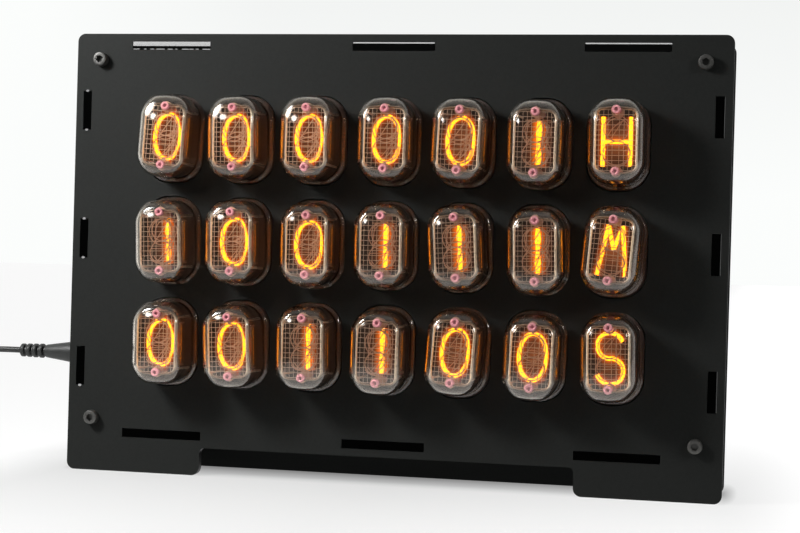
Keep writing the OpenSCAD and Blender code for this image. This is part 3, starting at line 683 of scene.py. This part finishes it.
def bulb_mesh(material):
    """One glass bulb with its wall, its rounded front edge, its crowned face and its sealing flange."""
    outside = [(GLASS_T, 0.0), (-0.85, 0.0), (-1.0, 0.2), (-1.0, 1.3), (-0.85, 1.6), (-0.35, 1.75),
               (-0.08, 2.1), (0, 2.8)]
    inside = [(GLASS_T, 2.8)]
    for depth in (6, 9, 12, 14):
        outside.append((0, depth))
        inside.append((GLASS_T, depth))
    outside.append((0, BULB_DEEP - FRONT_R))
    inside.append((GLASS_T, INNER_EDGE))
    for rings, r, wall in ((outside, FRONT_R, 0), (inside, INNER_R, GLASS_T)):
        for a in (12, 24, 36, 48, 60, 72, 80, 86):
            s = math.radians(a)
            rings.append((wall + r - r * math.cos(s), BULB_DEEP - wall - r + r * math.sin(s)))
    skins = []
    for profile, top in ((outside, BULB_DEEP), (inside, BULB_DEEP - GLASS_T)):
        rings = [bulb_ring(inset, depth) for inset, depth in profile]
        edge = rings[-1]
        for s in (0.94, 0.86, 0.77, 0.68, 0.58, 0.48, 0.38, 0.28, 0.18, 0.08):
            rings.append([(x * s, -top + crown_drop(x * s, z * s), z * s) for x, _, z in edge])
        skins.append(loft(rings, ends=(False, True)))
    (points, faces), (inner, inner_faces) = skins
    n = len(edge)
    count = len(points)
    faces += [[i + count for i in face][::-1] for face in inner_faces]
    faces += [[k, count + k, count + (k + 1) % n, (k + 1) % n] for k in range(n)]
    mesh = bpy.data.meshes.new("glass_bulb")
    mesh.from_pydata((np.array(points + inner) * MM).tolist(), [], faces)
    mesh.materials.append(material)
    mesh.shade_smooth()
    return mesh


def blow_bulbs(material):
    mesh = bulb_mesh(material)
    for r, c, place, _ in TUBES:
        bulb = bpy.data.objects.new(f"bulb_r{r + 1}c{c + 1}", mesh)
        scene.collection.objects.link(bulb)
        bulb.matrix_world = Matrix.Translation(place.translation * MM) @ place.to_3x3().to_4x4()
        settle(bulb, "tube_glass", f"tube_r{r + 1}c{c + 1}")


def bend_frames(material):
    """The bright bent frame round each mesh, with a value that is 1 at its ends, where shade is painted."""
    stock = Stock()
    profile = [(0, 15.0), (0.02, 15.8), (0.12, 16.35), (0.3, 16.7), (0.5, 16.85), (0.65, 16.75), (0.75, 16.4),
               (0.75, 15.4)]
    points, faces = inset_skin(GRID_W / 2, GRID_H / 2, GRID_R, profile, 7, closed=True, rise=GRID_RISE)
    # 1 at the ends, where the frame's shade is painted
    ends = [clamp((abs(z) - PAINTED_SHADE_FROM) / PAINTED_SHADE_SPAN) for _, _, z in points]
    for _, _, place, _ in TUBES:
        stock.add(points, faces, place, ends)
    return stock.piece("bent_frames", material, "anode_metal", 50, across=True)


def weave_grids(material):
    """The anode's mesh of wires, which leaves the beads free, and its four legs."""
    stock = Stock()
    row_half = 0.085
    row_thick = 0.2
    row_gap = 1.8
    last_row = 6
    column_half = 0.8 * row_half
    column_thick = 0.15
    frame_in = 0.4
    # How far the wires stay off the beads, to the sides and from the middle of the mesh
    bead_half = 1.6
    bead_low = 9.6
    leg_x = 7.1
    leg_z = 9.7
    leg_r = 0.4
    half_w = GRID_W / 2
    half_h = GRID_H / 2 - GRID_RISE
    leg, leg_faces = turned([(leg_r, 0), (leg_r, MESH_DEPTH)], 10)

    def reach(at, half, other):
        """How far a wire runs, at a distance from the frame's middle."""
        over = max(0.0, abs(at) - half + GRID_R)
        return other - frame_in - GRID_R + math.sqrt(max(GRID_R ** 2 - over ** 2, 0))

    for _, _, place, _ in TUBES:
        for i in range(-last_row, last_row + 1):
            z = i * row_gap
            x = reach(z, half_h, half_w)
            spans = [(s * bead_half, s * x) for s in (-1, 1)] if abs(i) == last_row else [(-x, x)]
            for x0, x1 in spans:
                wire = box_bar(x0, x1, z - row_half, z + row_half, MESH_DEPTH, MESH_DEPTH + row_thick)
                stock.add(*wire, place)
        for x in (-6.0, -4.4, -2.8, -1.2, 1.2, 2.8, 4.4, 6.0):
            high = bead_low if abs(x) < bead_half else reach(x, half_w, half_h)
            back = MESH_DEPTH - column_thick
            stock.add(*box_bar(x - column_half, x + column_half, -high, high, back, MESH_DEPTH), place)
        for sx in (-1, 1):
            for sz in (-1, 1):
                stock.add([(x + sx * leg_x, y, z + sz * leg_z) for x, y, z in leg], leg_faces, place)
    return stock.piece("wire_grids", material, "anode_metal", 50, ["anode_grids"])


def stand_rods(material):
    """Ceramic rods whose drilled ends show as beads."""
    stock = Stock()
    profile = [(ROD_R - 0.1, 0), (ROD_R, 0.1), (ROD_R, 15.6), (1.58, 15.8), (1.67, 16.2), (1.6, 16.7),
               (1.38, 16.95), (1.0, 17.0), (0.7, 16.85), (0.55, 16.5), (0.5, 15.2)]
    points, faces = turned(profile, 24)
    for _, _, place, _ in TUBES:
        for s in (-1, 1):
            stock.add([(x, y, z + s * ROD_OFF) for x, y, z in points], faces, place)
    return stock.piece("bead_rods", material, "pink_ceramic", 50, ["support_rods"])


def cut_cathodes(material):
    """The figures that are off: narrow bands cut from thin sheet, with an eyelet round each rod."""
    stock = Stock()
    eyelet_r = 1.9
    for _, column, place, lit in TUBES:
        for mark, depth in OFF_LETTERS if column == LETTER_COLUMN else OFF_NUMBERS:
            if mark == lit:
                continue
            for path, closed in STROKES[mark]:
                stock.add(*ribbon(path, band(0.15, 0.12, depth), closed)[:2], place)
            for s in (-1, 1):
                eyelet = arc(0, s * ROD_OFF, eyelet_r, eyelet_r, 0, 360, 19)[:-1]
                stock.add(*ribbon(eyelet, band(0.3, 0.15, depth), True)[:2], place)
            for s in (-1, 1):
                stock.add(*box_bar(-0.2, 0.2, s * 8.2, s * 9.3, depth - 0.1, depth + 0.1), place)
    return stock.piece("dark_figures", material, "cathode_metal", 40, ["unlit_cathodes"])


def taper(part):
    """The width of a lit one along its length: full in each half, slim in the middle and at both ends."""
    return 0.64 + 0.36 * math.sin(2 * math.pi * part) ** 2


def light_figures(name, marks, solid, glow, haze, reach):
    """The lit figures, each with a crowned bright stroke and the glow round it."""
    strokes = Stock()
    hazes = Stock()
    # Distances in depth from the figure's own
    edge_front = 0.25
    crown_high = 0.3
    stroke_back = 0.2
    haze_back = 0.5
    for _, _, place, lit in TUBES:
        if lit not in marks:
            continue
        depth = LIT_DEPTH[lit]
        half = STROKE_HALF[lit]
        crown = [(o * half, depth + edge_front + crown_high * math.sqrt(1 - o * o), abs(o))
                 for o in (-1, -0.8, -0.45, 0, 0.45, 0.8, 1)]
        crown += [(half, depth - stroke_back, 1), (-half, depth - stroke_back, 1)]
        front = [(o * reach, depth - haze_back, abs(o)) for o in (-1, -0.66, -0.33, 0, 0.33, 0.66, 1)]
        back = [(o, d - GLOW_SHEET, value) for o, d, value in front[::-1]]
        for path, closed in STROKES[lit]:
            points, faces, across = ribbon(path, crown, closed, taper if lit == "1" else None)
            strokes.add(points, faces, place, across)
            points, faces, across = ribbon(path, front + back, closed)
            hazes.add(points, faces, place, across)
    hazes.piece(name + "_haze", haze, "lit_cathode", 0, across=True)
    return strokes.piece(name, glow, "lit_cathode", 60, [solid], across=True)


def fill_gas(material):
    """The faint glow in the gas behind the figures of every tube."""
    stock = Stock()
    shares = (0.05, 0.35, 0.7, 1.0)
    outline = rounded_ring(7.4, 11.6, 5.0, 6)
    front, faces = loft([[(x * s, -4.5, z * s) for x, z in outline] for s in shares])
    back = [(x, y + GLOW_SHEET, z) for x, y, z in front]
    across = np.repeat(shares, len(outline))
    for _, _, place, _ in TUBES:
        stock.add(front, faces, place, across)
        stock.add(back, [face[::-1] for face in faces], place, across)
    return stock.piece("gas_glow", material, "lit_cathode", 0, across=True)


# Slots and screws

SLOT_X = -120.5
TOP_SLOT_Z = 138.9
LOW_SLOT_Z = 40.1
SLOT_END = 7.55
# A melted bead: half its width and height, how far it stands out, and its slope in degrees at the top slot
# and for each millimetre below that
BEAD_HALF_W = 0.75
BEAD_HALF_H = 0.48
BEAD_LIFT = 0.22
BEAD_SLOPE = 8
BEAD_SLOPE_MORE = 0.065


def bead_slots(material):
    """Small melted beads at the ends of the left slots, left by the cutting beam."""
    stock = Stock()
    for slot_z, ends in ((TOP_SLOT_Z, (-1, 1)), (MID_Z, (-1, 1)), (LOW_SLOT_Z, (-1,))):
        slope = math.tan(math.radians(BEAD_SLOPE + (TOP_SLOT_Z - slot_z) * BEAD_SLOPE_MORE))
        for end in ends:
            rings = []
            for grow, lift in ((1.0, 0.0), (0.9, BEAD_LIFT), (0.45, BEAD_LIFT), (0.05, BEAD_LIFT)):
                ring = []
                for k in range(16):
                    a = math.pi * k / 8
                    x = grow * BEAD_HALF_W * math.cos(a)
                    z = grow * BEAD_HALF_H * math.sin(a)
                    y = FACE_Y - lift + (z * slope if lift else 0)
                    ring.append((SLOT_X + x, y, slot_z + end * SLOT_END + z))
                rings.append(ring)
            stock.add(*loft(rings))
    return stock.piece("slot_end_beads", material, "black_sheet", 20)


def drive_screws(material):
    """Cap screws with a knurled head and a hexagon socket."""
    socket_half = 1.25
    knurl_deep = 0.09
    knurled = (4, 5)
    # A radius that says hexagon follows the six sides of the socket
    profile = [(1.3, -10), (1.5, -9.7), (1.5, 0), (2.7, 0), (2.75, 0.25), (2.75, 2.5), (2.5, 2.9), (2.3, 3.0),
               (1.7, 3.0), ("hexagon", 2.98), ("hexagon", 1.3)]

    def ripple(i, radius, a, k):
        if radius == "hexagon":
            return socket_half / math.cos((a + math.pi / 6) % (math.pi / 3) - math.pi / 6)
        return radius - (knurl_deep if k % 2 and i in knurled else 0)

    points, faces = turned(profile, 72, ripple)
    rows = (("front_cap_screws", FACE_Y, "front_screws"), ("rear_cap_screws", BACK_Y, "rear_screws"))
    for name, y, solid in rows:
        stock = Stock()
        for x in (-SCREW_X, SCREW_X):
            for z in SCREW_ZS:
                turn = Matrix.Rotation(math.pi, 4, "Z")
                if y == FACE_Y:
                    turn = Matrix.Rotation(math.radians(17 * x / SCREW_X + z), 4, "Y")
                stock.add(points, faces, Matrix.Translation((x, y, z)) @ turn)
        stock.piece(name, material, "black_steel", 35, [solid])


# Table, room and lamps

TABLE_HALF = 8.0
# Where the painted shadow on the table is darkest, under the back panel, in metres: its middle in Y, and
# half its width and depth
SHADOW_Y = 0.022
SHADOW_HALF_W = 0.125
SHADOW_HALF_D = 0.003
# How much faster the painted shadow fades to the sides than to the front and back
SIDE_FADE = 6.0


def table_finish():
    """White paper that keeps the clock's shadow, with painted shadow under the clock and painted light to the
    right, and turns to the background's plain white further off.
    """
    material, tree, shader = finish("table paper", Specular_IOR_Level=0.1, Emission_Color=(1, 1, 1, 1))
    place = grain_node(tree, 0.004, (0.155, 0.158, 0.155, 1), (0.165, 0.168, 0.165, 1), 0.85, 0.95)
    tree.links.new(place.outputs["Color"], shader.inputs["Base Color"])
    tree.links.new(place.outputs["Roughness"], shader.inputs["Roughness"])
    position = node(tree, "NewGeometry").outputs["Position"]
    moved = vectors(tree, "SUBTRACT", position, (0.0, SHADOW_Y, 0.0))
    size = vectors(tree, "ABSOLUTE", moved)
    past = vectors(tree, "SUBTRACT", size, (SHADOW_HALF_W, SHADOW_HALF_D, 0.0))
    out = vectors(tree, "MAXIMUM", past, (0.0, 0.0, 0.0))
    away = vectors(tree, "LENGTH", vectors(tree, "MULTIPLY", out, (SIDE_FADE, 1.0, 1.0)))
    # Painted shadow and light: darkest under the clock, then brighter in two steps, and a little brighter
    # again to the right
    near = ramp(tree, away, 0.0, 0.03, 0.28, 0.69)
    far = ramp(tree, away, 0.03, 0.25, 0.0, 0.24)
    parts = node(tree, "SeparateXYZ", ((0, position),)).outputs
    right = ramp(tree, parts["X"], 0.0, 0.12, -0.035, 0.09)
    white = maths(tree, "ADD", maths(tree, "ADD", near, far), right)
    ray = node(tree, "LightPath").outputs
    seen = maths(tree, "MULTIPLY", ray["Is Camera Ray"], white)
    bright = maths(tree, "MAXIMUM", ray["Is Glossy Ray"], ray["Is Transmission Ray"])
    mirrored = maths(tree, "MULTIPLY", bright, ramp(tree, parts["Y"], -0.26, -0.05))
    tree.links.new(maths(tree, "MAXIMUM", seen, mirrored), shader.inputs["Emission Strength"])
    return material


def lay_table():
    h = TABLE_HALF
    mesh = bpy.data.meshes.new("table")
    mesh.from_pydata([(-h, -h, 0), (h, -h, 0), (h, h, 0), (-h, h, 0)], [], [[0, 1, 2, 3]])
    mesh.materials.append(table_finish())
    table = bpy.data.objects.new("table", mesh)
    scene.collection.objects.link(table)


def light_room():
    """A room that is white behind the clock, pale above it and dark in front."""
    world = bpy.data.worlds.new("white room")
    scene.world = world
    world.use_nodes = True
    tree = world.node_tree
    back = tree.nodes["Background"]
    back.inputs["Color"].default_value = (0.985, 1.0, 0.99, 1)
    way = node(tree, "TexCoord").outputs["Generated"]
    parts = node(tree, "SeparateXYZ", ((0, way),)).outputs
    # Each ramp has a part of the direction, its range, and the brightness at both ends
    behind = ramp(tree, parts["Y"], -0.2, 0.25, 0.05, 0.9)
    above = ramp(tree, parts["Z"], 0.6, 0.9, 0.0, 0.48)
    level = maths(tree, "MAXIMUM", behind, above)
    # Painted shade on the backdrop seen straight on: a little darker higher up, except far to the left
    high = ramp(tree, parts["Z"], 0.04, 0.15, 0.0, 0.085)
    inward = ramp(tree, parts["X"], -0.4, -0.28)
    wall = maths(tree, "SUBTRACT", 0.985, maths(tree, "MULTIPLY", high, inward))
    ray = node(tree, "LightPath").outputs
    dim = maths(tree, "MULTIPLY", level, 0.15)
    unseen = between(tree, ray["Is Diffuse Ray"], level, dim)
    tree.links.new(between(tree, ray["Is Camera Ray"], unseen, wall), back.inputs["Strength"])


def softbox(name, at, towards, wide, high, watts):
    """A lamp that is brightest in its middle."""
    lamp = bpy.data.lights.new(name, "AREA")
    lamp.shape = "RECTANGLE"
    lamp.size = wide
    lamp.size_y = high
    lamp.energy = watts
    lamp.use_nodes = True
    tree = lamp.node_tree
    spot = node(tree, "NewGeometry").outputs["Parametric"]
    middle = vectors(tree, "DISTANCE", spot, (0.5, 0.5, 0.0))
    fade = ramp(tree, middle, 0.1, 0.55, 1.0, 0.0, interpolation_type="SMOOTHSTEP")
    tree.links.new(maths(tree, "POWER", fade, 1.5), tree.nodes["Emission"].inputs["Strength"])
    obj = bpy.data.objects.new(name, lamp)
    aim = (Vector(towards) - Vector(at)).to_track_quat("-Z", "Y").to_matrix().to_4x4()
    obj.matrix_world = Matrix.Translation(at) @ aim
    scene.collection.objects.link(obj)


def dress(material, *names):
    """Gives solids that keep their CAD shape a material."""
    for name in names:
        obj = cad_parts[name]
        if not obj.material_slots:
            obj.data.materials.append(material)
        for slot in obj.material_slots:
            slot.material = material


# The scene

place_camera()

# The lead with its plug, adapter and tie
jacket = grained("cord jacket", (0.03, 0.032, 0.031), 0.38, 0.5, 0.003, 0.2, 0.1)
soft_black = grained("moulded plug plastic", (0.035, 0.037, 0.036), 0.4, 0.52, 0.002, 0.2, 0.15)
case_black = grained("spark-textured plastic", (0.022, 0.022, 0.024), 0.5, 0.62, 0.0012, 0.25, 0.5)
nylon = grained("nylon band", (0.015, 0.015, 0.016), 0.3, 0.42, 0.002, 0.2, 0.1)
pin_metal = grained("nickel-plated pins", (0.72, 0.71, 0.69), 0.16, 0.26, 0.001, 0.06, 0.05, Metallic=1.0)
cord, cord_length = lay_cord(jacket)
plug = plug_piece(soft_black)
adapter = adapter_piece(case_black)
dress(soft_black, "adapter_relief")
dress(nylon, "coil_tie")
dress(pin_metal, "adapter_prongs")

# The case
dress(sheet_finish("matt sheet, facing front", (0, 1, 0), cut_rough=0.4), "front_panel", "back_panel")
dress(sheet_finish("matt sheet, on top", (0, 0, 1), gloss=0.6, top_light=True), "top_panel")
dress(sheet_finish("matt sheet, lying", (0, 0, 1), 0.12), "bottom_panel")
dress(sheet_finish("matt sheet, standing", (1, 0, 0), 0.07), "left_panel", "right_panel")
bead_slots(grained("melted sheet", (0.004, 0.004, 0.004), 0.05, 0.09, 0.001, 0.2, 0.0))
drive_screws(grained("blackened steel", (0.12, 0.119, 0.112), 0.35, 0.48, 0.0006, 0.2, 0.1, Metallic=0.5))

# The tubes
blow_bulbs(glass_finish())
bend_frames(frame_finish())
weave_grids(grained("bright nickel", (0.76, 0.645, 0.6), 0.3, 0.44, 0.0015, 0.08, 0.05, Metallic=0.65))
stand_rods(grained("pink ceramic", (0.87, 0.44, 0.63), 0.4, 0.55, 0.0008, 0.12, 0.1, Specular_IOR_Level=0.2))
cut_cathodes(grained("dull nickel", (0.66, 0.45, 0.38), 0.35, 0.5, 0.001, 0.12, 0.05, Metallic=0.75))
glow = glow_finish()
haze = haze_finish("neon haze", (1.0, 0.19, 0.008, 1), 1.5, 0.95)
thin_haze = haze_finish("thin neon haze", (1.0, 0.17, 0.012, 1), 1.15, 0.52)
light_figures("glowing_zeros", "0", "lit_zeros", glow, thin_haze, 2.9)
light_figures("glowing_ones", "1", "lit_ones", glow, haze, 3.6)
light_figures("glowing_letters", "HMS", "lit_letters", glow, thin_haze, 2.9)
fill_gas(haze_finish("gas glow", (1.0, 0.3, 0.1, 1), 0.42, 0.5))

# The inside and the buttons: colour, smooth and rough, grain, spread, bump and metallic
for finish_name, colour, polish, rest, solids in (
    ("dark ceramic base", (0.034, 0.018, 0.013), (0.4, 0.6), (0.002, 0.3, 0.1, 0.0), ["tube_bases"]),
    ("brown phenolic", (0.02, 0.013, 0.01), (0.35, 0.5), (0.002, 0.3, 0.1, 0.0), ["tube_sockets"]),
    ("turned brass", (0.7, 0.52, 0.24), (0.2, 0.34), (0.001, 0.1, 0.05, 1.0),
     ["front_spacers", "rear_spacers"]),
    ("green solder mask", (0.012, 0.07, 0.03), (0.25, 0.4), (0.003, 0.3, 0.1, 0.0), ["display_board"]),
    ("moulded chip plastic", (0.02, 0.02, 0.022), (0.4, 0.55), (0.0008, 0.2, 0.1, 0.0),
     ["microcontroller", "driver_chips", "button_switches", "cell_holder", "power_inlet"]),
    ("sintered ferrite", (0.05, 0.05, 0.054), (0.5, 0.7), (0.0006, 0.3, 0.3, 0.0), ["boost_coil"]),
    ("drawn aluminium can", (0.75, 0.76, 0.78), (0.25, 0.4), (0.001, 0.08, 0.05, 1.0), ["storage_capacitor"]),
    ("polished cell steel", (0.7, 0.71, 0.72), (0.12, 0.22), (0.002, 0.05, 0.03, 1.0), ["clock_cell"]),
    ("button plastic", (0.03, 0.03, 0.033), (0.35, 0.5), (0.001, 0.2, 0.15, 0.0),
     ["hour_button", "minute_button", "second_button"]),
):
    dress(grained(finish_name, colour, *polish, *rest[:3], Metallic=rest[3]), *solids)

# Table, room and lamps, which have a place, a point to face, a width and a height in metres, and watts
lay_table()
light_room()
softbox("key_softbox", (-0.3, -0.245, 0.31), (-0.01, 0, 0.1), 0.19, 0.19, 5.4)
softbox("left_panel_light", (-1.344, -0.84, 0.313), (0, 0, 0.09), 0.8, 0.9, 2.5)
softbox("patch_softbox", (-0.76, -1.30, 0.64), (0, 0, 0.09), 0.3, 0.2, 3)
softbox("right_softbox", (0.5, -0.3, 0.3), (0.05, 0, 0.09), 0.16, 0.16, 1.6)
